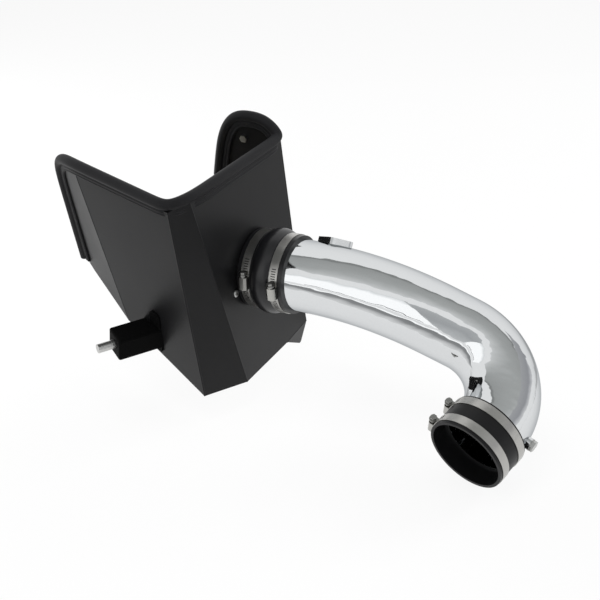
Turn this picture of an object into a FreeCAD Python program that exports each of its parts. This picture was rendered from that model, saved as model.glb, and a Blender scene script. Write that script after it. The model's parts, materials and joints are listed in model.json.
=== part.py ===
import FreeCAD, Part
import math
import os

os.makedirs("parts", exist_ok=True)
V = FreeCAD.Vector
ORIGIN = V(0, 0, 0)
X = V(1, 0, 0)
Y = V(0, 1, 0)
Z = V(0, 0, 1)

# Duct, in mm: X runs out of the shield's front panel along the duct's first straight, Z is up
TUBE_OD = 101.6
TUBE_WALL = 2.0
TUBE_X0 = 44.0
BEND_1_X = 93.9
BEND_1_R = 364.0
BEND_1_TO = V(0.872, 0.224, -0.435)
LINK = 37.4
BEND_2_R = 85.0
BEND_2_TO = V(-0.270, -0.909, -0.317)
TAIL = 25.0

# Hump hose on the shield and plain hose on the throttle
HOSE_WALL = 4.8
HOSE_X0 = 3.0
HOSE_X1 = 72.0
HUMP_X0 = 23.0
HUMP_X1 = 51.0
HUMP_RISE = 5.5
HUMP_NECK = 3.0
HOSE_INSERT = 24.0
HOSE_LEN = 53.5
THROTTLE_STEP = 0.8

# Worm clamps
BAND_W = 12.7
BAND_T = 0.8
BAND_GAP = 0.15
BAND_SLOTS = 7
BAND_SLOT_PITCH = 3.4
BAND_SLOT_L = 7.0
BAND_SLOT_W = 1.4
HOUSE_L = 18.0
HOUSE_H = 10.0
HOUSE_SINK = 1.5
HOUSE_LIP = 0.5
HOUSE_ROUND = 4.0
WORM_R = 3.6
WORM_UP = 4.6
WORM_TAIL = 1.0
WORM_NECK = 2.0
HEAD_AF = 8.0
HEAD_L = 6.0
HEAD_COLLAR_R = 5.6
HEAD_COLLAR_T = 2.0
CLAMP_A_X = 15.4
CLAMP_B_X = 59.0
CLAMP_F_BACK = 7.0
CLAMP_LIP = 2.5
CLAMP_MOUTH = 4.5
CLAMP_A_SIDE = V(0, -1, 0.05)
CLAMP_B_SIDE = V(0, -1, -0.08)
CLAMP_CD_SIDE = V(-0.8, 0.3, 0.35)
CLAMP_F_SIDE = V(0, 0.5, -0.8)

# Heat shield: folded sheet, given by the corners of its panels
SHEET = 2.0
FOLD_R = 1.3
FRONT_TOP_L = V(0, -155, 160)
FRONT_TOP_R = V(0, 88, 160)
FRONT_MID_R = V(0, 113, -5)
FRONT_LOW_R = V(0, 143, -153)
FRONT_BOT_R = V(0, 80, -161)
FRONT_BOT_L = V(0, -42, -166)
SIDE_TOP = V(-7, -185.6, 148)
SIDE_BOT = V(-31, -108, -162)
FACET_TOP = V(-197, -124.5, 170)
FACET_BOT = V(-167, -85, -80)
EDGE_BOT_A = V(-236, -66, -20)
EDGE_BOT_B = V(-249, -62, -4)
EDGE_TOP = V(-240, -94, 173)
EAR_TIP = V(-8, 135, -191)
EAR_R = 4.0
EDGE_R = 15.0

# Wing: heights along the shield's right edge, back from the front panel
WING_1 = V(-20, 0, 187)
WING_2 = V(-68, 0, 189)
WING_3 = V(-90, 0, 164)
WING_4 = V(-109, 0, 88)
WING_5 = V(-112, 0, 44)
WING_6 = V(-50, 0, -5)
WING_R = 40.0
WING_BOLT = V(-58.7, 0, 155.7)

# Rubber hood seal
SEAL_CLIP = 12.0
SEAL_W = 8.0
BULB_R = 7.5
BULB_UP = 4.5
CORNER_R = 32.0
FACET_CORNER_R = 55.0
WING_CORNER_R = 12.0
ARC_SHARE = 0.45

# Sensor pad and vent boss on the duct
PAD_FROM_HOSE = 41.0
PAD_UP = 7.0
PAD_DEPTH = 24.0
PAD_MID_R = 14.5
PAD_TIP_R = 5.0
PAD_HOLE_R = 2.1
PAD_HOLE_PITCH = 42.0
PAD_SLOT_L = 22.0
PAD_SLOT_W = 15.0
PAD_TO = V(0, 0.57, 0.82)
VENT_BACK = 14.0
VENT_TO = V(0.932, -0.163, -0.324)
VENT_R = 8.5
VENT_BORE = 5.0
VENT_OUT = 4.0
PLUG_AF = 14.0
PLUG_H = 5.0
PLUG_COLLAR_R = 8.5
PLUG_COLLAR_T = 1.5

# Filter behind the front panel
HOLE_GAP = 1.2
FLANGE_RIM = 7.5
FLANGE_T = 4.0
SPIGOT_WALL = 4.0
SPIGOT_FRONT = 34.0
SPIGOT_BACK = 40.0
FILTER_X0 = -18.0
FILTER_NECK_L = 14.0
FILTER_BASE_L = 26.0
FILTER_BASE_R = 79.0
FILTER_BASE_RIM = 2.0
FILTER_MEDIA_L = 122.0
FILTER_TIP_R = 66.0
FILTER_CAP_L = 14.0
FILTER_CAP_RIM = 2.0
FILTER_CAP_ROUND = 4.0
PLEATS = 44
PLEAT_D = 11.0
MESH_T = 1.0
MESH_CLEAR = 6.0

# Fasteners
BOLT_R = 3.0
BOLT_HEAD_R = 5.5
BOLT_HEAD_H = 3.2
BOLT_HEAD_ROUND = 2.0
BOLT_SOCKET_AF = 4.0
BOLT_SOCKET_D = 1.8
BOLT_CLEAR = 0.5
BOLT_TURN = 0.26
BOLT_PROUD = 2.0
HEX_AF = 10.0
HEX_HEAD_H = 4.0
NUT_H = 5.0

# Box bracket and locating stud on the side panel
BOX_L = 61.0
BOX_W = 36.0
BOX_H = 33.0
BOX_T = 2.5
BOX_BEND = 3.0
BOX_AT = V(-112.5, -101.7, -79.8)
BOX_OUT = V(-0.522, -0.853, -0.011)
BOX_UP = V(0.215, -0.144, 0.965)
TAB_W = 20.0
TAB_UP = 30.0
TAB_DOWN = 12.0
TAB_R = 8.0
FIX_PITCH = 15.0
STUD_R = 6.5
STUD_OUT = 25.0
STUD_ROOT_R = 5.0
STUD_NUT_AF = 17.0
STUD_NUT_H = 8.0
STUD_PROUD = 3.0

tube_r = TUBE_OD / 2
hose_r = tube_r + HOSE_WALL
throttle_r = tube_r + THROTTLE_STEP
reach = 4 * TUBE_OD
nodes = {}


def unit(v):
    return V(v).normalize()


def rod(r, start, axis, length):
    return Part.makeCylinder(r, length, start, axis)


def ring(start, axis, r0, r1, length):
    return rod(r1, start, axis, length).cut(rod(r0, start, axis, length))


def through(r, p, axis):
    # a drill that passes right through at a point
    return rod(r, p - axis * (tube_r / 2), axis, tube_r)


def join(shapes):
    return shapes[0].multiFuse(shapes[1:]).removeSplitter()


def hexagon(p, axis, across, length):
    r = across / math.sqrt(3)
    turn = FreeCAD.Rotation(Z, axis)
    corners = []
    for i in range(7):
        a = i * math.pi / 3
        corners.append(p + turn.multVec(V(r * math.cos(a), r * math.sin(a), 0)))
    return Part.Face(Part.makePolygon(corners)).extrude(axis * length)


def place(shape, p, axis, side):
    # local Z goes to the axis and local X to the side
    z = unit(axis)
    x = unit(side - z * side.dot(z))
    y = z.cross(x)
    out = shape.copy()
    frame = FreeCAD.Matrix(x.x, y.x, z.x, p.x, x.y, y.y, z.y, p.y, x.z, y.z, z.z, p.z, 0, 0, 0, 1)
    out.transformShape(frame)
    return out


def onto(p, a, b, c):
    # slides a point square onto the plane of three others, so that a panel is flat
    n = unit((b - a).cross(c - a))
    return p - n * n.dot(p - a)


def meet(a, b, c, d):
    # where two edges' lines would cross, or the middle of the shortest gap between them
    u = b - a
    v = d - c
    w = a - c
    scale = u.dot(u) * v.dot(v) - u.dot(v) ** 2
    s = (u.dot(v) * v.dot(w) - v.dot(v) * u.dot(w)) / scale
    t = (u.dot(u) * v.dot(w) - u.dot(v) * u.dot(w)) / scale
    return (a + u * s + c + v * t) * 0.5


def arc_run(a, b, c, r):
    # how far a rounded corner reaches back along its two runs, and half the angle between them
    half = (a - b).getAngle(c - b) / 2
    return min(r / math.tan(half), ARC_SHARE * (a - b).Length, ARC_SHARE * (c - b).Length), half


def rounded(points, radii):
    # straight runs joined by tangent arcs, with one radius for each inner point
    edges = []
    last = points[0]
    for a, b, c, r in zip(points[:-2], points[1:-1], points[2:], radii):
        if r == 0:
            edges.append(Part.makeLine(last, b))
            last = b
            continue
        u = unit(a - b)
        v = unit(c - b)
        run, half = arc_run(a, b, c, r)
        bisector = unit(u + v)
        crown = b + bisector * (run / math.cos(half) - run * math.tan(half))
        edges.append(Part.makeLine(last, b + u * run))
        edges.append(Part.Arc(b + u * run, crown, b + v * run).toShape())
        last = b + v * run
    edges.append(Part.makeLine(last, points[-1]))
    return Part.Wire(edges)


def plate(points, radii, t):
    # a flat sheet to both sides of its outline, which starts in the middle of its last edge
    start = (points[0] + points[-1]) * 0.5
    face = Part.Face(rounded([start] + points + [start], radii))
    n = face.normalAt(0, 0)
    face.translate(n * (-t / 2))
    return face.extrude(n * t)


# Heat shield: one folded sheet of front panel, chamfer, side panel, side facet, wing and bottom ear
side_top = onto(SIDE_TOP, FRONT_TOP_L, FRONT_BOT_L, SIDE_BOT)
facet_top = onto(FACET_TOP, side_top, SIDE_BOT, FACET_BOT)
edge_bot_a = onto(EDGE_BOT_A, facet_top, FACET_BOT, EDGE_BOT_B)
edge_top = onto(EDGE_TOP, facet_top, FACET_BOT, EDGE_BOT_B)
wing_n = unit((FRONT_TOP_R - FRONT_MID_R).cross(X))


def on_wing(p):
    return V(p.x, FRONT_TOP_R.y - wing_n.z * (p.z - FRONT_TOP_R.z) / wing_n.y, p.z)


wing_top = [FRONT_TOP_R] + [on_wing(p) for p in (WING_1, WING_2, WING_3, WING_4)]
wing_low = [on_wing(WING_5), on_wing(WING_6), FRONT_MID_R]
panels = [
    plate([FRONT_TOP_L, FRONT_TOP_R, FRONT_MID_R, FRONT_LOW_R, FRONT_BOT_R, FRONT_BOT_L], [0] * 6, SHEET),
    plate([FRONT_TOP_L, FRONT_BOT_L, SIDE_BOT, side_top], [0] * 4, SHEET),
    plate([side_top, SIDE_BOT, FACET_BOT, facet_top], [0] * 4, SHEET),
    plate([facet_top, FACET_BOT, edge_bot_a, EDGE_BOT_B, edge_top], [0, 0, 0, 0, EDGE_R], SHEET),
    plate(wing_top + wing_low, [0, WING_R, WING_R, WING_R, 0, WING_R, 0, 0], SHEET),
    plate([FRONT_BOT_R, FRONT_LOW_R, EAR_TIP], [0, 0, EAR_R], SHEET),
]
folds = [(FRONT_TOP_L, FRONT_BOT_L), (side_top, SIDE_BOT), (facet_top, FACET_BOT)]
folds += [(FRONT_TOP_R, FRONT_MID_R), (FRONT_BOT_R, FRONT_LOW_R)]
shield = join(panels + [rod(FOLD_R, a, b - a, (b - a).Length) for a, b in folds])


# Hood seal: a clip over the sheet's edge, panel by panel, with one round bulb swept along the top
def inward(a, b, inside):
    n = unit((b - a).cross(inside - a))
    return unit(n.cross(b - a)), n


def clip_run(points, radii, inside):
    to, n = inward(points[0], points[1], inside)
    low = points[0] + to * SEAL_CLIP
    high = points[0] - to * BULB_UP
    half = n * (SEAL_W / 2)
    profile = Part.makePolygon([low + half, low - half, high - half, high + half, low + half])
    return rounded(points, radii).makePipeShell([profile], True, False)


def lifted(a, b, inside):
    up, n = inward(a, b, inside)
    return a - up * BULB_UP, b - up * BULB_UP


clips = [
    clip_run([EDGE_BOT_B, edge_top, facet_top], [EDGE_R], FACET_BOT),
    clip_run([facet_top, side_top], [], SIDE_BOT),
    clip_run([side_top, FRONT_TOP_L], [], SIDE_BOT),
    clip_run([FRONT_TOP_L, FRONT_TOP_R], [], FRONT_BOT_L),
    clip_run(wing_top, [WING_R, WING_R, WING_R], FRONT_MID_R),
]
edge_a, edge_b = lifted(EDGE_BOT_B, edge_top, FACET_BOT)
facet_a, facet_b = lifted(edge_top, facet_top, FACET_BOT)
side_a, side_b = lifted(facet_top, side_top, SIDE_BOT)
front_a, front_b = lifted(FRONT_TOP_L, FRONT_TOP_R, FRONT_BOT_L)
wing_runs = [lifted(a, b, FRONT_MID_R) for a, b in zip(wing_top[:-1], wing_top[1:])]
corner = meet(side_a, side_b, front_a, front_b)
bulb_points = [edge_a, meet(edge_a, edge_b, facet_a, facet_b), (facet_b + side_a) * 0.5]
bulb_points += [corner, (front_b + wing_runs[0][0]) * 0.5]
bulb_radii = [EDGE_R + BULB_UP, FACET_CORNER_R, CORNER_R, WING_CORNER_R]
for (a, b), (c, d) in zip(wing_runs[:-1], wing_runs[1:]):
    bulb_points.append(meet(a, b, c, d))
    bulb_radii.append(WING_R + BULB_UP)
bulb_points.append(wing_runs[-1][1])
bulb_loop = Part.Wire(Part.makeCircle(BULB_R, edge_a, edge_b - edge_a))
bulb = rounded(bulb_points, bulb_radii).makePipeShell([bulb_loop], True, False)
web_run, half = arc_run(bulb_points[2], corner, bulb_points[4], CORNER_R)
web_a = corner + unit(bulb_points[2] - corner) * web_run
web_b = corner + unit(bulb_points[4] - corner) * web_run
web_points = [web_a, onto(side_b, web_a, corner, web_b), onto(front_a, web_a, corner, web_b), web_b]
web = plate(web_points, [0] * 4, SEAL_W)
nodes["hood_seal"] = join(clips + [web, bulb]).cut(shield)


# Duct path from the hump hose to the throttle hose
def arc_to(p, d, d2, r):
    turn = math.acos(d.dot(d2))
    side = unit(d2 - d * d2.dot(d))
    ends = []
    for a in (turn / 2, turn):
        ends.append(p + side * (r - r * math.cos(a)) + d * (r * math.sin(a)))
    return Part.Arc(p, ends[0], ends[1]).toShape(), ends[1]


d1 = unit(BEND_1_TO)
d2 = unit(BEND_2_TO)
p0 = X * TUBE_X0
p1 = X * BEND_1_X
arc_1, p2 = arc_to(p1, X, d1, BEND_1_R)
p3 = p2 + d1 * LINK
arc_2, p4 = arc_to(p3, d1, d2, BEND_2_R)
p5 = p4 + d2 * TAIL
path = Part.Wire([Part.makeLine(p0, p1), arc_1, Part.makeLine(p2, p3), arc_2, Part.makeLine(p4, p5)])


def skin(r):
    return path.makePipeShell([Part.Wire(Part.makeCircle(r, p0, X))], True, False)


tube_outside = skin(tube_r)
tube = tube_outside.cut(skin(tube_r - TUBE_WALL))

# Mass-flow sensor pad: a lozenge welded on the far upper side of the duct, with a slot and two screw holes
pad_dir = unit(PAD_TO)
pad_face = X * (HOSE_X1 + PAD_FROM_HOSE) + pad_dir * (tube_r + PAD_UP)
hole_out = PAD_HOLE_PITCH / 2


def lozenge(r_mid, r_tip, out, depth):
    # one round in the middle and one at each end, joined by their tangents
    lean = math.acos((r_mid - r_tip) / out)
    mid = V(r_mid * math.cos(lean), r_mid * math.sin(lean), 0)
    tip = V(out + r_tip * math.cos(lean), r_tip * math.sin(lean), 0)
    edges = []
    for sx in (1, -1):
        end = Part.Arc(V(sx * tip.x, tip.y, 0), V(sx * (out + r_tip), 0, 0), V(sx * tip.x, -tip.y, 0))
        middle = Part.Arc(V(-mid.x, sx * mid.y, 0), V(0, sx * r_mid, 0), V(mid.x, sx * mid.y, 0))
        edges += [end.toShape(), middle.toShape()]
        for sy in (1, -1):
            edges.append(Part.makeLine(V(sx * mid.x, sy * mid.y, 0), V(sx * tip.x, sy * tip.y, 0)))
    outline = Part.Wire(Part.__sortEdges__(edges))
    return Part.Face(outline).extrude(Z * depth)


def slot(length, width, depth):
    half = (length - width) / 2
    ends = [rod(width / 2, X * s, Z, depth) for s in (-half, half)]
    return join([Part.makeBox(2 * half, width, depth, V(-half, -width / 2, 0))] + ends)


pad = place(lozenge(PAD_MID_R, PAD_TIP_R, hole_out, PAD_DEPTH), pad_face, pad_dir * -1, X).cut(tube_outside)
pad_cuts = [place(slot(PAD_SLOT_L, PAD_SLOT_W, tube_r), pad_face, pad_dir * -1, X)]
pad_cuts += [rod(PAD_HOLE_R, pad_face + X * s, pad_dir * -1, tube_r) for s in (-hole_out, hole_out)]
pad_cut = Part.makeCompound(pad_cuts)
nodes["sensor_pad"] = pad.cut(pad_cut)
tube = tube.cut(pad_cut)

# Vent boss welded beside the throttle hose, closed by a screwed hex plug
vent_at = p4 - d2 * VENT_BACK
vent_dir = unit(VENT_TO - d2 * VENT_TO.dot(d2))
vent_top = vent_at + vent_dir * (tube_r + VENT_OUT)
boss = rod(VENT_R, vent_top, vent_dir * -1, tube_r).cut(tube_outside)
vent_bore = rod(VENT_BORE, vent_top, vent_dir * -1, tube_r)
nodes["vent_fitting"] = boss.cut(vent_bore)
nodes["intake_tube"] = tube.cut(vent_bore)
plug_top = vent_top + vent_dir * PLUG_COLLAR_T
plug = [rod(PLUG_COLLAR_R, vent_top, vent_dir, PLUG_COLLAR_T), hexagon(plug_top, vent_dir, PLUG_AF, PLUG_H)]
plug.append(rod(VENT_BORE, vent_top, vent_dir * -1, VENT_OUT))
nodes["vent_plug"] = join(plug)

# Hump hose: a sleeve with one rounded hump between its two clamp seats
hump_mid = (HUMP_X0 + HUMP_X1) / 2
neck_0 = HUMP_X0 + HUMP_NECK
neck_1 = HUMP_X1 - HUMP_NECK
hump_out = Part.Arc(V(HUMP_X0, hose_r, 0), V(hump_mid, hose_r + HUMP_RISE, 0), V(HUMP_X1, hose_r, 0))
hump_in = Part.Arc(V(neck_1, tube_r, 0), V(hump_mid, tube_r + HUMP_RISE, 0), V(neck_0, tube_r, 0))
seat_0 = [V(neck_0, tube_r, 0), V(HOSE_X0, tube_r, 0), V(HOSE_X0, hose_r, 0), V(HUMP_X0, hose_r, 0)]
seat_1 = [V(HUMP_X1, hose_r, 0), V(HOSE_X1, hose_r, 0), V(HOSE_X1, tube_r, 0), V(neck_1, tube_r, 0)]
section = [Part.makePolygon(seat_0), Part.Wire(hump_out.toShape())]
section += [Part.makePolygon(seat_1), Part.Wire(hump_in.toShape())]
nodes["hump_hose"] = Part.Face(Part.Wire(section)).revolve(ORIGIN, X, 360)

# Throttle hose: a sleeve over the duct's end, opened out a little for the throttle body
hose_at = p5 - d2 * HOSE_INSERT
sleeve = ring(hose_at, d2, tube_r, hose_r, HOSE_LEN)
nodes["throttle_hose"] = sleeve.cut(rod(throttle_r, p5, d2, HOSE_LEN))

# Filter adapter: a flange behind the front panel with a spigot on each side
back = -SHEET / 2
flange_back = back - FLANGE_T
bolt_ring = hose_r + BOLT_HEAD_R + BOLT_CLEAR
spigot_x0 = back - SPIGOT_BACK
adapter = join([
    ring(X * flange_back, X, tube_r - SPIGOT_WALL, bolt_ring + FLANGE_RIM, FLANGE_T),
    ring(X * spigot_x0, X, tube_r - SPIGOT_WALL, tube_r, SPIGOT_FRONT - spigot_x0),
])
shield = shield.cut(through(tube_r + HOLE_GAP, ORIGIN, X))

# Two button-head socket screws and nuts hold the adapter to the panel
bolt_side = V(0, math.cos(BOLT_TURN), math.sin(BOLT_TURN)) * bolt_ring
screws = []
nuts = []
for p in (bolt_side * -1, bolt_side):
    seat = p - X * back
    head = rod(BOLT_HEAD_R, seat, X, BOLT_HEAD_H)
    crown = [e for e in head.Edges if e.CenterOfMass.x > seat.x + BOLT_HEAD_H / 2 and e.Closed]
    head = head.makeFillet(BOLT_HEAD_ROUND, crown)
    head = head.cut(hexagon(seat + X * BOLT_HEAD_H, X * -1, BOLT_SOCKET_AF, BOLT_SOCKET_D))
    screws.append(join([head, rod(BOLT_R, seat, X * -1, SHEET + FLANGE_T + NUT_H + BOLT_PROUD)]))
    bore = through(BOLT_R, p, X)
    nuts.append(hexagon(p + X * flange_back, X * -1, HEX_AF, NUT_H).cut(bore))
    shield = shield.cut(bore)
    adapter = adapter.cut(bore)
nodes["filter_adapter"] = adapter
nodes["adapter_screws"] = Part.makeCompound(screws)
nodes["adapter_nuts"] = Part.makeCompound(nuts)

# Box bracket: a folded channel, open below, on a foot with an upright tab that lies on the side panel
side_n = unit((SIDE_BOT - side_top).cross(FACET_BOT - side_top)) * -1
box_out = unit(BOX_OUT)
box_up = unit(BOX_UP - box_out * BOX_UP.dot(box_out))
box_side = box_up.cross(box_out)
skin_gap = side_n.dot(side_top + side_n * (SHEET / 2) - BOX_AT)
foot_at = BOX_AT + box_out * (skin_gap / side_n.dot(box_out))
shell = Part.makeBox(BOX_W, BOX_H, BOX_L + BOX_W, V(-BOX_W / 2, -BOX_H / 2, -BOX_W))
bends = [e for e in shell.Edges if e.CenterOfMass.y > BOX_H / 2 - BOX_T and e.CenterOfMass.z > -BOX_W / 2]
bends += [e for e in shell.Edges if e.CenterOfMass.z > BOX_L - BOX_T and abs(e.CenterOfMass.y) < BOX_T]
shell = shell.makeFillet(BOX_BEND, bends)
core_w = BOX_W - 2 * BOX_T
core = Part.makeBox(core_w, BOX_H, BOX_L + 2 * BOX_W - BOX_T, V(-core_w / 2, -BOX_H / 2 - BOX_T, -2 * BOX_W))
channel = place(shell.cut(core), foot_at, box_out, box_side)
behind = place(Part.makeBox(reach, reach, reach, V(-reach / 2, -reach / 2, -reach)), foot_at, side_n, X)
foot_up = unit(box_up - side_n * box_up.dot(side_n))
foot_side = foot_up.cross(side_n)
half_w = BOX_W / 2
half_h = BOX_H / 2
tab_x = half_w - TAB_W
foot_points = [V(half_w, -half_h - TAB_DOWN, 0), V(half_w, half_h + TAB_UP, 0), V(tab_x, half_h + TAB_UP, 0)]
foot_points += [V(tab_x, half_h, 0), V(-half_w, half_h, 0), V(-half_w, -half_h, 0), V(tab_x, -half_h, 0)]
foot_points += [V(tab_x, -half_h - TAB_DOWN, 0)]
foot = plate(foot_points, [TAB_R, TAB_R, TAB_R, 0, 0, 0, 0, TAB_R], BOX_T)
foot = place(foot, foot_at + side_n * (BOX_T / 2), side_n, foot_side)
bracket = join([channel.cut(behind), foot])

# Two hex screws inside the channel hold the foot
fix_screws = []
fix_nuts = []
for s in (-FIX_PITCH / 2, FIX_PITCH / 2):
    seat = foot_at + foot_side * s + side_n * BOX_T
    panel_back = seat - side_n * (BOX_T + SHEET)
    shank = rod(BOLT_R, seat, side_n * -1, BOX_T + SHEET + NUT_H + BOLT_PROUD)
    fix_screws.append(join([hexagon(seat, side_n, HEX_AF, HEX_HEAD_H), shank]))
    fix_nuts.append(hexagon(panel_back, side_n * -1, HEX_AF, NUT_H).cut(shank))
    shield = shield.cut(shank)
    bracket = bracket.cut(shank)
nodes["bracket_screws"] = Part.makeCompound(fix_screws)
nodes["bracket_nuts"] = Part.makeCompound(fix_nuts)

# Shouldered locating stud in the end wall, held by a nut inside the channel
stud_at = foot_at + box_out * BOX_L
root = rod(STUD_ROOT_R, stud_at, box_out * -1, BOX_T + STUD_NUT_H + STUD_PROUD)
nodes["mount_stud"] = join([rod(STUD_R, stud_at, box_out, STUD_OUT), root])
nodes["stud_nut"] = hexagon(stud_at - box_out * BOX_T, box_out * -1, STUD_NUT_AF, STUD_NUT_H).cut(root)
nodes["mount_bracket"] = bracket.cut(root)

# Hex bolt and nut through the wing
wing_seat = on_wing(WING_BOLT) - wing_n * (SHEET / 2)
wing_shank = rod(BOLT_R, wing_seat, wing_n, SHEET + NUT_H + BOLT_PROUD)
nodes["wing_bolt"] = join([hexagon(wing_seat, wing_n * -1, HEX_AF, HEX_HEAD_H), wing_shank])
nodes["wing_nut"] = hexagon(wing_seat + wing_n * SHEET, wing_n, HEX_AF, NUT_H).cut(wing_shank)
nodes["heat_shield"] = shield.cut(wing_shank)

# Cone filter: rubber base, pleated media, inner mesh tube and rubber cap
media_x0 = FILTER_X0 - FILTER_BASE_L
media_x1 = media_x0 - FILTER_MEDIA_L
base_l = FILTER_BASE_L - FILTER_NECK_L
base = ring(X * media_x0, X, tube_r, FILTER_BASE_R, base_l)
nodes["filter_base"] = join([base, ring(X * media_x0, X, tube_r, hose_r, FILTER_BASE_L)])


def pleat_wire(x, r):
    points = []
    for i in range(2 * PLEATS + 1):
        a = math.pi * i / PLEATS
        q = r - PLEAT_D * (i % 2)
        points.append(V(x, q * math.cos(a), q * math.sin(a)))
    return Part.makePolygon(points)


mesh_r = FILTER_TIP_R - PLEAT_D - MESH_CLEAR
pleats = [pleat_wire(media_x0, FILTER_BASE_R - FILTER_BASE_RIM), pleat_wire(media_x1, FILTER_TIP_R)]
media = Part.makeLoft(pleats, True, True)
nodes["filter_media"] = media.cut(rod(mesh_r, X * media_x1, X, FILTER_MEDIA_L))
nodes["filter_mesh"] = ring(X * media_x1, X, mesh_r - MESH_T, mesh_r, FILTER_MEDIA_L)
cap_x = media_x1 - FILTER_CAP_L
cap = rod(FILTER_TIP_R + FILTER_CAP_RIM, X * cap_x, X, FILTER_CAP_L)
cap_rim = [e for e in cap.Edges if e.Closed and e.CenterOfMass.x < cap_x + FILTER_CAP_L / 2]
nodes["filter_cap"] = cap.makeFillet(FILTER_CAP_ROUND, cap_rim)


# Worm clamps: each a slotted band, a pressed housing and a screw
def clamp(name, at, axis, side, r):
    inner = r + BAND_GAP
    outer = inner + BAND_T
    slots = []
    for i in range(BAND_SLOTS):
        for s in (-1, 1):
            corner = V(inner - BAND_T, -BAND_SLOT_W / 2, -BAND_SLOT_L / 2)
            cut = Part.makeBox(3 * BAND_T, BAND_SLOT_W, BAND_SLOT_L, corner)
            cut.rotate(ORIGIN, Z, s * math.degrees((HOUSE_L / 2 + (i + 1) * BAND_SLOT_PITCH) / outer))
            slots.append(cut)
    band = ring(Z * (-BAND_W / 2), Z, inner, outer, BAND_W).cut(Part.makeCompound(slots))
    house_w = BAND_W + 2 * HOUSE_LIP
    house = Part.makeBox(HOUSE_H, HOUSE_L, house_w, V(outer - HOUSE_SINK, -HOUSE_L / 2, -house_w / 2))
    crest = outer - HOUSE_SINK + HOUSE_H / 2
    ridges = [e for e in house.Edges if e.CenterOfMass.x > crest and abs(e.CenterOfMass.y) < HOUSE_L / 4]
    house = house.makeFillet(HOUSE_ROUND, ridges).cut(rod(outer, Z * -house_w, Z, 2 * house_w))
    mid = outer + WORM_UP
    worm_y = HOUSE_L / 2 + WORM_TAIL
    head_y = HOUSE_L / 2 + WORM_NECK
    worm = rod(WORM_R, V(mid, worm_y, 0), Y * -1, worm_y + head_y)
    collar = rod(HEAD_COLLAR_R, V(mid, -head_y, 0), Y * -1, HEAD_COLLAR_T)
    head = hexagon(V(mid, -head_y - HEAD_COLLAR_T, 0), Y * -1, HEAD_AF, HEAD_L - HEAD_COLLAR_T)
    nodes[name + "_band"] = place(band, at, axis, side)
    nodes[name + "_housing"] = place(house.cut(worm), at, axis, side)
    nodes[name + "_screw"] = place(join([worm, collar, head]), at, axis, side)


clamp("clamp_a", X * CLAMP_A_X, X, CLAMP_A_SIDE, hose_r)
clamp("clamp_b", X * CLAMP_B_X, X, CLAMP_B_SIDE, hose_r)
clamp("clamp_c", hose_at + d2 * (CLAMP_LIP + BAND_W / 2), d2, CLAMP_CD_SIDE, hose_r)
clamp("clamp_d", hose_at + d2 * (HOSE_LEN - CLAMP_MOUTH - BAND_W / 2), d2, CLAMP_CD_SIDE, hose_r)
clamp("clamp_f", X * (FILTER_X0 - CLAMP_F_BACK), X, CLAMP_F_SIDE, hose_r)

# The part stands with its lowest point on Z = 0 and its bounding box centred over the origin
box = Part.makeCompound(list(nodes.values())).BoundBox
shift = V(-box.Center.x, -box.Center.y, -box.ZMin)
for name, shape in nodes.items():
    shape.translate(shift)
    shape.exportStep("parts/" + name + ".step")
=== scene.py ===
import json

import bpy
import numpy as np
from mathutils import Matrix, Vector


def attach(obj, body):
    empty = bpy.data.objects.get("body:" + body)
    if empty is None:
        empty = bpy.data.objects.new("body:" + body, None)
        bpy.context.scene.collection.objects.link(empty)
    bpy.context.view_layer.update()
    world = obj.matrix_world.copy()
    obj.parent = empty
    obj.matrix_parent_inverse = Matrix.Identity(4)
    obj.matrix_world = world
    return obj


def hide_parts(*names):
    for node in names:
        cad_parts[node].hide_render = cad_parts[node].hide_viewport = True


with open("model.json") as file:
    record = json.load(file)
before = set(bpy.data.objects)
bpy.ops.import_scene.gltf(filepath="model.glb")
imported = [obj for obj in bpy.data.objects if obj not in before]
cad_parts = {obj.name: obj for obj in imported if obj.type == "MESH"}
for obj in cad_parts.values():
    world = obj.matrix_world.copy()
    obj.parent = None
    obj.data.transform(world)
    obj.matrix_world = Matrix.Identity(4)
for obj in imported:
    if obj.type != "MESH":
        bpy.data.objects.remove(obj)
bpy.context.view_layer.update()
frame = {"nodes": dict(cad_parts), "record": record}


# Studio
# A white sweep with soft boxes, seen by a long lens from above the throttle hose.
# Grey and white cards that only reflections see stand where the polished duct mirrors the room, in metres.
CAMERA_AT = Vector((0.7793, -1.4167, 0.9837))
CAMERA_RIGHT = Vector((0.8829, 0.4679, -0.0388))
CAMERA_UP = Vector((-0.1759, 0.4063, 0.8966))
LENS_MM = 78.0

right = CAMERA_RIGHT.normalized()
up = (CAMERA_UP - right * CAMERA_UP.dot(right)).normalized()
back = right.cross(up)
lens = bpy.data.cameras.new("camera")
lens.lens = LENS_MM
camera = bpy.data.objects.new("camera", lens)
camera.matrix_world = Matrix.Translation(CAMERA_AT) @ Matrix((right, up, back)).transposed().to_4x4()
bpy.context.scene.collection.objects.link(camera)
bpy.context.scene.camera = camera
bpy.context.scene.view_settings.view_transform = "Standard"


def linear(code):
    """sRGB hex such as 3a3a3c to an opaque linear colour.

    A dark channel is divided by 12.92, and the others are offset, scaled and raised to the power of 2.4."""
    c = np.array([int(code[i:i + 2], 16) for i in (0, 2, 4)]) / 255
    c = np.where(c <= 0.04045, c / 12.92, ((c + 0.055) / 1.055) ** 2.4)
    return (*c.tolist(), 1.0)


def add(tree, kind, values=None, links=None, **settings):
    """Adds one node, sets its properties and input values, and links {input: (node, output)}."""
    made = tree.nodes.new(kind)
    for key, value in settings.items():
        setattr(made, key, value)
    for key, value in (values or {}).items():
        made.inputs[key].default_value = value
    for key, (source, output) in (links or {}).items():
        tree.links.new(source.outputs[output], made.inputs[key])
    return made


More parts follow.
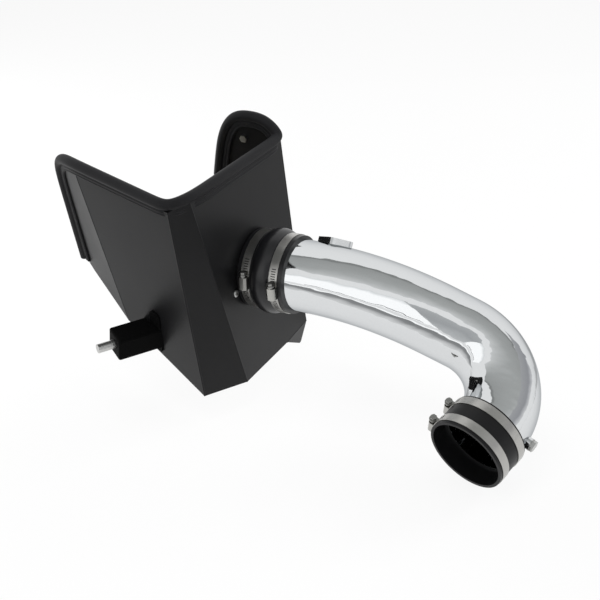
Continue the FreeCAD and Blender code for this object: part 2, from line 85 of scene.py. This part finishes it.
def seen_directly(tree):
    """1 for camera, glossy and transmitted rays, 0 for the rays that light the object."""
    ray = add(tree, "ShaderNodeLightPath")
    seen = add(tree, "ShaderNodeMath", links={0: (ray, "Is Camera Ray"), 1: (ray, "Is Glossy Ray")},
               operation="MAXIMUM")
    return add(tree, "ShaderNodeMath", links={0: (seen, 0), 1: (ray, "Is Transmission Ray")},
               operation="MAXIMUM")


WORLD_LIGHT = 0.34
world = bpy.data.worlds.new("studio")
bpy.context.scene.world = world
world.use_nodes = True
sky = world.node_tree
sky.nodes.clear()
lit = add(sky, "ShaderNodeBackground", {"Color": linear("ffffff"), "Strength": WORLD_LIGHT})
white = add(sky, "ShaderNodeBackground", {"Color": linear("ffffff"), "Strength": 1.0})
both = add(sky, "ShaderNodeMixShader", links={0: (seen_directly(sky), 0), 1: (lit, 0), 2: (white, 0)})
add(sky, "ShaderNodeOutputWorld", links={"Surface": (both, 0)})

level_right = Vector((right.x, right.y, 0)).normalized()
level_ahead = Vector((-level_right.y, level_right.x, 0))


def spot(across, ahead, height):
    """A point in the studio, measured in metres across and ahead as the camera sees it."""
    return level_right * across + level_ahead * ahead + Vector((0, 0, height))


LAMP_AIM = Vector((0, 0, 0.2))


def soft_box(name, at, size, watts):
    """A square area lamp at one point, aimed at the middle of the object and left out of reflections."""
    lamp = bpy.data.lights.new(name, "AREA")
    lamp.shape = "SQUARE"
    lamp.size = size
    lamp.energy = watts
    made = bpy.data.objects.new(name, lamp)
    made.location = at
    made.rotation_euler = (LAMP_AIM - at).to_track_quat("-Z", "Y").to_euler()
    made.visible_glossy = False
    bpy.context.scene.collection.objects.link(made)


soft_box("left_box", Vector((-2.1, 0.25, 0.75)), 0.9, 36)
soft_box("right_box", Vector((1.5, 1.7, 1.1)), 1.0, 30)
soft_box("top_box", spot(-0.2, -0.5, 2.0), 1.2, 16)


def card(name, corner, along, down, bands, glow=1.0):
    """A flat card that only reflections see, from a corner and its two edges.

    Each band is a share of the way down and a grey, and the tone runs evenly from one to the next."""
    shares = np.array([share for share, grey in bands])
    rows = np.array(corner) + shares[:, None] * np.array(down)
    points = np.stack([rows, rows + np.array(along)], 1).reshape(-1, 3)
    quads = [(2 * i, 2 * i + 1, 2 * i + 3, 2 * i + 2) for i in range(len(bands) - 1)]
    mesh = bpy.data.meshes.new(name)
    mesh.from_pydata(points.tolist(), [], quads)
    tones = np.repeat([linear(grey) for share, grey in bands], 2, axis=0)
    mesh.color_attributes.new("tone", "FLOAT_COLOR", "POINT").data.foreach_set("color", tones.ravel())
    paint = bpy.data.materials.new(name)
    paint.use_nodes = True
    paint.node_tree.nodes.clear()
    tone = add(paint.node_tree, "ShaderNodeVertexColor", layer_name="tone")
    light = add(paint.node_tree, "ShaderNodeEmission", {"Strength": glow}, {"Color": (tone, "Color")})
    add(paint.node_tree, "ShaderNodeOutputMaterial", links={"Surface": (light, 0)})
    mesh.materials.append(paint)
    made = bpy.data.objects.new(name, mesh)
    made.visible_camera = False
    made.visible_diffuse = False
    made.visible_shadow = False
    bpy.context.scene.collection.objects.link(made)


CEILING = 2.0
FRONT = -2.2
NEAR_FLOOR = 0.002
FRONT_SHINE = 1.35
LEFT_SHINE = 1.6
# Overhead, with a darker line at its back edge
card("ceiling_card", spot(-2.0, 0.36, CEILING), level_right * 4.4, level_ahead * -1.9,
     [(0.0, "a0a2a1"), (0.05, "8a8c8b"), (0.12, "aaacab"), (0.5, "b6b8b7"), (1.0, "e0e1e1")])
# Bright in front and on the floor before it, with a thin dark rail, and grey to the right
card("front_card", spot(-3.4, FRONT, 1.9), level_right * 3.3, Vector((0, 0, -1.65)),
     [(0.0, "d0d2d3"), (0.25, "ffffff"), (1.0, "ffffff")], FRONT_SHINE)
card("side_card", spot(-0.1, FRONT, 1.9), level_right * 2.6, Vector((0, 0, -1.75)),
     [(0.0, "c0c2c3"), (0.5, "b4b6b8"), (1.0, "d0d2d3")])
card("front_shine", spot(-3.2, FRONT, NEAR_FLOOR), level_right * 3.2, level_ahead * 0.85,
     [(0.0, "ffffff"), (1.0, "ffffff")], FRONT_SHINE)
card("front_rail", spot(-2.6, FRONT + 0.1, 0.36), level_right * 2.3, Vector((0, 0, -0.05)),
     [(0.0, "55565a"), (0.5, "2c2c30"), (1.0, "55565a")])
card("right_card", spot(2.4, 0.9, 2.0), level_ahead * -2.2, Vector((0, 0, -1.5)),
     [(0.0, "b4b5b7"), (0.7, "a6a7ab"), (1.0, "e0e0e2")])
# Near the object, cards just above the floor give reflections painted shade in front, painted light to the
# left of the shield and a paler painted shade behind
card("front_floor", spot(-1.8, -1.3, NEAR_FLOOR), level_right * 3.6, level_ahead * 0.95,
     [(0.0, "f0f0f0"), (0.1, "8c8d8e"), (0.7, "9a9b9c"), (1.0, "f0f0f0")])
card("left_floor", Vector((-2.2, 0.9, NEAR_FLOOR)), Vector((1.7, 0, 0)), Vector((0, -1.5, 0)),
     [(0.0, "ffffff"), (0.55, "ffffff"), (0.75, "b8b8b8"), (1.0, "b8b8b8")], LEFT_SHINE)
card("back_floor", spot(-0.5, 0.25, NEAR_FLOOR), level_right * 2.2, level_ahead * 1.4,
     [(0.0, "d0d0d0"), (0.5, "dadada"), (1.0, "f0f0f0")])


# Floor paper
# A seamless roll of white studio paper, laid flat under the part.
# It reads as clean white to the lens and to polished metal, with a light shadow left in it.
PAPER_GLOW = 0.9
FLOOR_HALF = 6.0
FLOOR_DROP = 0.001
MM = 0.001


def surface(name, colour, roughness, metallic=0.0, *, grain_mm, bump, tint, spread=0.06, wave_mm=70.0,
            **sockets):
    """A principled finish: fine grain tints and raises it, and slow clouds vary its roughness.

    Colour goes to tint by grain times cloud, roughness runs from less to more than its value by the spread,
    and the grain stands a quarter of its own width high, times the bump's strength."""
    made = bpy.data.materials.new(name)
    made.use_nodes = True
    tree = made.node_tree
    tree.nodes.clear()
    place = add(tree, "ShaderNodeTexCoord")
    grain = add(tree, "ShaderNodeTexNoise", {"Scale": 1 / (grain_mm * MM), "Detail": 4.0},
                {"Vector": (place, "Object")})
    cloud = add(tree, "ShaderNodeTexNoise", {"Scale": 1 / (wave_mm * MM), "Detail": 3.0},
                {"Vector": (place, "Object")})
    rough = add(tree, "ShaderNodeMapRange", {"To Min": roughness - spread, "To Max": roughness + spread},
                {"Value": (cloud, "Fac")})
    shade = add(tree, "ShaderNodeMath", links={0: (grain, "Fac"), 1: (cloud, "Fac")},
                operation="MULTIPLY")
    blend = add(tree, "ShaderNodeMix", {"A": linear(colour), "B": linear(tint)},
                {"Factor": (shade, 0)}, data_type="RGBA")
    raised = add(tree, "ShaderNodeBump", {"Strength": bump, "Distance": grain_mm * MM / 4},
                 {"Height": (grain, "Fac")})
    shader = add(tree, "ShaderNodeBsdfPrincipled", {"Metallic": metallic, **sockets},
                 {"Base Color": (blend, 2), "Roughness": (rough, 0), "Normal": (raised, 0)})
    add(tree, "ShaderNodeOutputMaterial", links={"Surface": (shader, 0)})
    return made


def part_of(material, kind):
    """The first node of a type in a material."""
    return next(n for n in material.node_tree.nodes if n.bl_idname == kind)


floor_mesh = bpy.data.meshes.new("floor")
sides = np.array([(-1, -1), (1, -1), (1, 1), (-1, 1)]) * FLOOR_HALF
floor_mesh.from_pydata([(x, y, -FLOOR_DROP) for x, y in sides], [], [(0, 1, 2, 3)])
floor = bpy.data.objects.new("floor", floor_mesh)
bpy.context.scene.collection.objects.link(floor)
# Matt white paper: an even white, a shade lighter and darker in slow patches
paper = surface("studio_paper", "f6f6f6", 0.9, grain_mm=40, bump=0.0, tint="fafafa")
sheet = paper.node_tree
part_white = add(sheet, "ShaderNodeMath", {1: PAPER_GLOW}, {0: (seen_directly(sheet), 0)},
                 operation="MULTIPLY")
glow = add(sheet, "ShaderNodeEmission", {"Color": linear("ffffff"), "Strength": 1.0})
mixed = add(sheet, "ShaderNodeMixShader",
            links={0: (part_white, 0), 1: (part_of(paper, "ShaderNodeBsdfPrincipled"), 0), 2: (glow, 0)})
sheet.links.new(mixed.outputs[0], part_of(paper, "ShaderNodeOutputMaterial").inputs["Surface"])
floor.data.materials.append(paper)


# Heat shield
# One folded sheet of mild steel, sprayed with satin black powder and baked.
# The seal grips its top edge, and the bracket and the filter adapter are screwed to it.
nodes = frame["nodes"]


def finish_nodes(material, *names):
    """Gives CAD nodes their finish."""
    for name in names:
        nodes[name].data.materials.clear()
        nodes[name].data.materials.append(material)


# Baked powder: a soft sheen that brightens at a slant, over a faint orange-peel grain of about 2 mm
powder = surface("powder_coated_steel", "141415", 0.38, grain_mm=1.8, bump=0.14, tint="202022",
                 **{"Specular IOR Level": 0.15})
finish_nodes(powder, "heat_shield")


# Hood seal
# Extruded rubber bulb on a steel-cored clip, pushed over the sheet's edge.
# It runs from the left end to the wing's back, in soft curves round the folds, and ends in plain cuts.

# In millimetres from the middle of the duct's hole in the front panel, which lies at SHIELD_AT.
# BULB_FROM and CREASE are in radians, and RIB_TURN is in radians per millimetre.
SHIELD_AT = np.array((-88.782, 21.757, 214.913))
SEAL_STEP = 2.5
BULB_R = 7.5
BULB_UP = 4.5
BULB_FROM = -1.08
BULB_POINTS = 19
CLIP_DEEP = 12.0
CLIP_HALF = 4.0
CLIP_TOP = -3.4
CLIP_POINTS = 17
FOOT_CUT = 0.9
FOOT_UP = 1.0
SLOT_HALF = 1.2
RIB = 0.5
RIB_TURN = 0.73
CREASE = 0.6
seal_edge = np.array([(-249, -62, -4), (-243.5, -106.5, 168.5), (-198.8, -130.5, 168.7),
                      (-14.7, -181.9, 152.5), (-1, -150, 154.5), (0, 88, 160), (-20, 83.9, 187),
                      (-68, 83.6, 189), (-90, 87.4, 164), (-109, 98.9, 88)], float)
panel_below = np.array([(-167, -85, -80)] * 2 + [(-31, -108, -162)] * 2 + [(0, -42, -166)]
                       + [(0, 113, -5)] * 4, float)
corner_soft = np.array([14.0, 10.0, 7.0, 12.0, 7.0, 9.0, 9.0, 14.0])


def unit(v):
    """Vectors scaled to length 1."""
    return v / np.linalg.norm(v, axis=-1, keepdims=True)


def seal_path(corners, below, soft, step):
    """Places, run directions and upward directions along an edge with soft corners.

    Each corner turns the run over a logistic step of its own width. So the place is the first run's line
    plus, for each corner, the change of direction times that width times the step's running total."""
    runs = unit(np.diff(corners, axis=0))
    ups = -unit(np.cross(unit(np.cross(runs, below - corners[:-1])), runs))
    reach = np.concatenate([[0], np.cumsum(np.linalg.norm(np.diff(corners, axis=0), axis=1))])
    s = np.linspace(0, reach[-1], int(reach[-1] / step))[:, None]
    x = (s - reach[1:-1]) / soft
    turned = 1 / (1 + np.exp(-x))
    places = corners[0] + runs[0] * s + (soft * np.logaddexp(0, x)) @ np.diff(runs, axis=0)
    along = unit(runs[0] + turned @ np.diff(runs, axis=0))
    lift = ups[0] + turned @ np.diff(ups, axis=0)
    return places, along, unit(lift - along * (lift * along).sum(1, keepdims=True))


def seal_outline():
    """The outline, across and up from the sheet's edge.

    One half is the slot's wall, the clip's foot, a side that a sine raises into ribs, and an arc of the
    bulb from the neck to the top. The other half is its mirror image."""
    lean = np.linspace(BULB_FROM, np.pi / 2, BULB_POINTS)
    bulb = np.stack([BULB_R * np.cos(lean), BULB_UP + BULB_R * np.sin(lean)], 1)
    down = np.linspace(FOOT_UP - CLIP_DEEP, CLIP_TOP, CLIP_POINTS)
    side = np.stack([CLIP_HALF + RIB * np.sin((down + CLIP_DEEP) * RIB_TURN) ** 6, down], 1)
    foot = np.array([(SLOT_HALF, 0), (SLOT_HALF, -CLIP_DEEP), (CLIP_HALF - FOOT_CUT, -CLIP_DEEP)])
    half = np.concatenate([foot, side, bulb])
    return np.concatenate([half, half[-2::-1] * (-1, 1)])


def swept(name, places, across, lift, outline):
    """A closed outline carried along a path, with a flat face at each end.

    Each point is a place on the path plus its steps across and up."""
    n, m = len(places), len(outline)
    points = (places[:, None] + outline[None, :, :1] * across[:, None]
              + outline[None, :, 1:] * lift[:, None])
    i, j = np.meshgrid(np.arange(n - 1), np.arange(m), indexing="ij")
    k = (j + 1) % m
    quads = np.stack([i * m + j, i * m + k, (i + 1) * m + k, (i + 1) * m + j], -1).reshape(-1, 4)
    ends = [list(range(m))[::-1], list(range((n - 1) * m, n * m))]
    mesh = bpy.data.meshes.new(name)
    mesh.from_pydata((points.reshape(-1, 3) * MM).tolist(), [], quads.tolist() + ends)
    mesh.update()
    made = bpy.data.objects.new(name, mesh)
    bpy.context.scene.collection.objects.link(made)
    return made


edge_at, edge_along, edge_up = seal_path(seal_edge + SHIELD_AT, panel_below + SHIELD_AT, corner_soft,
                                         SEAL_STEP)
bulb_seal = swept("bulb_seal", edge_at, np.cross(edge_up, edge_along), edge_up, seal_outline())
bulb_seal.data.shade_smooth()
bulb_seal.data.set_sharp_from_angle(angle=CREASE)
# Extruded rubber: dull black, with a faint grey bloom that comes and goes along it
seal_rubber = surface("extruded_seal_rubber", "161617", 0.55, grain_mm=1.2, bump=0.18, tint="29292c",
                      wave_mm=35.0, **{"Specular IOR Level": 0.15})
bulb_seal.data.materials.append(seal_rubber)
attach(bulb_seal, "root")
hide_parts("hood_seal")


# Bracket and stud
# A bent steel box, dipped in black enamel, on a foot screwed to the side panel.
# A zinc-plated stud is held by a nut through its end wall.
def turned_lines(material, axis, pitch_mm, depth):
    """Adds fine rings round an axis, as a second bump over the grain: noise of the distance along it."""
    tree = material.node_tree
    place = part_of(material, "ShaderNodeTexCoord")
    along = add(tree, "ShaderNodeVectorMath", {1: tuple(axis)}, {0: (place, "Object")},
                operation="DOT_PRODUCT")
    lines = add(tree, "ShaderNodeTexNoise", {"Scale": 1 / (pitch_mm * MM), "Detail": 2.0},
                {"W": (along, "Value")}, noise_dimensions="1D")
    first = part_of(material, "ShaderNodeBump")
    second = add(tree, "ShaderNodeBump", {"Strength": depth, "Distance": pitch_mm * MM / 2},
                 {"Height": (lines, "Fac"), "Normal": (first, 0)})
    tree.links.new(second.outputs[0], part_of(material, "ShaderNodeBsdfPrincipled").inputs["Normal"])
    return material


mount_axis = {m["name"]: m["axis"] for m in frame["record"]["mounts"]}
# Dipped enamel: deep flat black, a little uneven where it ran
enamel = surface("black_enamel", "0e0e0e", 0.45, grain_mm=6, bump=0.06, tint="131314", spread=0.08,
                 **{"Specular IOR Level": 0.012})
finish_nodes(enamel, "mount_bracket")
# Turned and plated steel: bright, with rings drawn 1.5 mm apart so that they show
stud_zinc = surface("turned_zinc_plate", "c4c4c2", 0.3, 1.0, grain_mm=1.0, bump=0.06, tint="a9aaaa")
finish_nodes(turned_lines(stud_zinc, mount_axis["bracket_stud"], pitch_mm=1.5, depth=0.35), "mount_stud")
# Barrel-plated fasteners: bright grey, clouded by handling
zinc = surface("bright_zinc_plate", "b9b9b7", 0.28, 1.0, grain_mm=1.0, bump=0.06, tint="9fa0a1")
finish_nodes(zinc, "stud_nut", "bracket_screws", "bracket_nuts", "adapter_screws", "adapter_nuts",
             "wing_bolt", "wing_nut")


# Filter
# A cone of pleated cotton between a moulded rubber base and cap, on a machined adapter ring.
# It stands behind the shield, clamped to the adapter's spigot, and is finished plainly.
DUCT_AXIS = (1, 0, 0)
# Machined aluminium: grey, with tool marks drawn 0.8 mm apart so that they show
machined = surface("machined_aluminium", "a9aaab", 0.32, 1.0, grain_mm=1.0, bump=0.06, tint="8f9092")
finish_nodes(turned_lines(machined, DUCT_AXIS, pitch_mm=0.8, depth=0.4), "filter_adapter")
# Moulded rubber: soft matt black
moulded = surface("moulded_rubber", "151516", 0.55, grain_mm=1.5, bump=0.12, tint="242427",
                  **{"Specular IOR Level": 0.3})
finish_nodes(moulded, "filter_base", "filter_cap")
# Dry woven cotton: pale, rough and speckled at the size of its threads
cotton = surface("pleated_cotton", "c9c4b6", 0.9, grain_mm=1.2, bump=0.5, tint="a49e8d",
                 **{"Specular IOR Level": 0.1})
finish_nodes(cotton, "filter_media")
# Galvanised wire cloth: grey and broken up at the size of its openings
wire_cloth = surface("galvanised_mesh", "8d8d8c", 0.4, 1.0, grain_mm=2.0, bump=0.4, tint="4e4e4e")
finish_nodes(wire_cloth, "filter_mesh")


# Hoses
# Moulded black rubber: a humped sleeve at the shield and a plain one at the throttle.
# Both are pushed over the tube's ends and held by worm clamps.

# Moulded sleeve rubber: near black, with a fine grain from the mould
hose_rubber = surface("moulded_hose_rubber", "131314", 0.4, grain_mm=1.0, bump=0.12, tint="1a1a1c",
                      **{"Specular IOR Level": 0.22})
finish_nodes(hose_rubber, "throttle_hose")
# The hump comes from a smoother mould, so its crown carries a soft highlight
hump_rubber = surface("moulded_hump_rubber", "141416", 0.3, grain_mm=1.0, bump=0.1, tint="1c1c1f",
                      **{"Specular IOR Level": 0.42})
finish_nodes(hump_rubber, "hump_hose")


# Duct
# Mandrel-bent aluminium tube, buffed to a mirror after bending.
# The sensor pad and the vent boss are of the same alloy, welded on and buffed.
# A plated plug closes the boss.
RIPPLE_MM = 26.0
RIPPLE_LONG = 0.35
RIPPLE_DEPTH = 0.15
# Buffed aluminium: a mirror, slightly wavy from bending and buffing, which breaks up the reflections
duct = surface("buffed_aluminium", "dcdedf", 0.05, 1.0, grain_mm=3.0, bump=0.01, tint="d2d4d6",
               spread=0.02, **{"Specular Tint": linear("c4c6c8")})
ripples = duct.node_tree
stretch = add(ripples, "ShaderNodeMapping", {"Scale": (RIPPLE_LONG, 1.0, 1.0)},
              {"Vector": (part_of(duct, "ShaderNodeTexCoord"), "Object")})
ripple = add(ripples, "ShaderNodeTexNoise", {"Scale": 1 / (RIPPLE_MM * MM), "Detail": 2.0},
             {"Vector": (stretch, 0)})
wavy = add(ripples, "ShaderNodeBump", {"Strength": RIPPLE_DEPTH, "Distance": RIPPLE_MM * MM / 4},
           {"Height": (ripple, "Fac"), "Normal": (part_of(duct, "ShaderNodeBump"), 0)})
ripples.links.new(wavy.outputs[0], part_of(duct, "ShaderNodeBsdfPrincipled").inputs["Normal"])
finish_nodes(duct, "intake_tube")
# Hand-buffed fittings: bright, a little softer than the tube
buffed = surface("buffed_fitting", "d6d8d9", 0.1, 1.0, grain_mm=2.0, bump=0.04, tint="c6c8ca")
finish_nodes(buffed, "sensor_pad", "vent_fitting")
finish_nodes(zinc, "vent_plug")


# Hose clamps
# Half-inch stainless band, pressed housing and plated worm screw, drawn tight round each hose.
# The bands run round the duct's first straight, or round the throttle hose.
clamp_axis = {"a": DUCT_AXIS, "b": DUCT_AXIS, "f": DUCT_AXIS, "c": mount_axis["throttle_bore"],
              "d": mount_axis["throttle_bore"]}
# Pressed stainless: satin grey with a warm cast
housing_steel = surface("pressed_stainless", "b5b4b0", 0.28, 1.0, grain_mm=0.9, bump=0.08, tint="93928e")
# Plated screws: darker, and rougher from the driver
screw_steel = surface("plated_screw_steel", "a6a6a3", 0.3, 1.0, grain_mm=0.8, bump=0.1, tint="7e7e7c")
for key, axis in clamp_axis.items():
    # Rolled stainless: fine lines along the band, drawn coarser than the real ones so that they show
    band = surface("rolled_stainless_" + key, "bab9b6", 0.3, 1.0, grain_mm=0.8, bump=0.05, tint="9c9b97")
    finish_nodes(turned_lines(band, axis, pitch_mm=0.6, depth=0.3), "clamp_" + key + "_band")
    finish_nodes(housing_steel, "clamp_" + key + "_housing")
    finish_nodes(screw_steel, "clamp_" + key + "_screw")
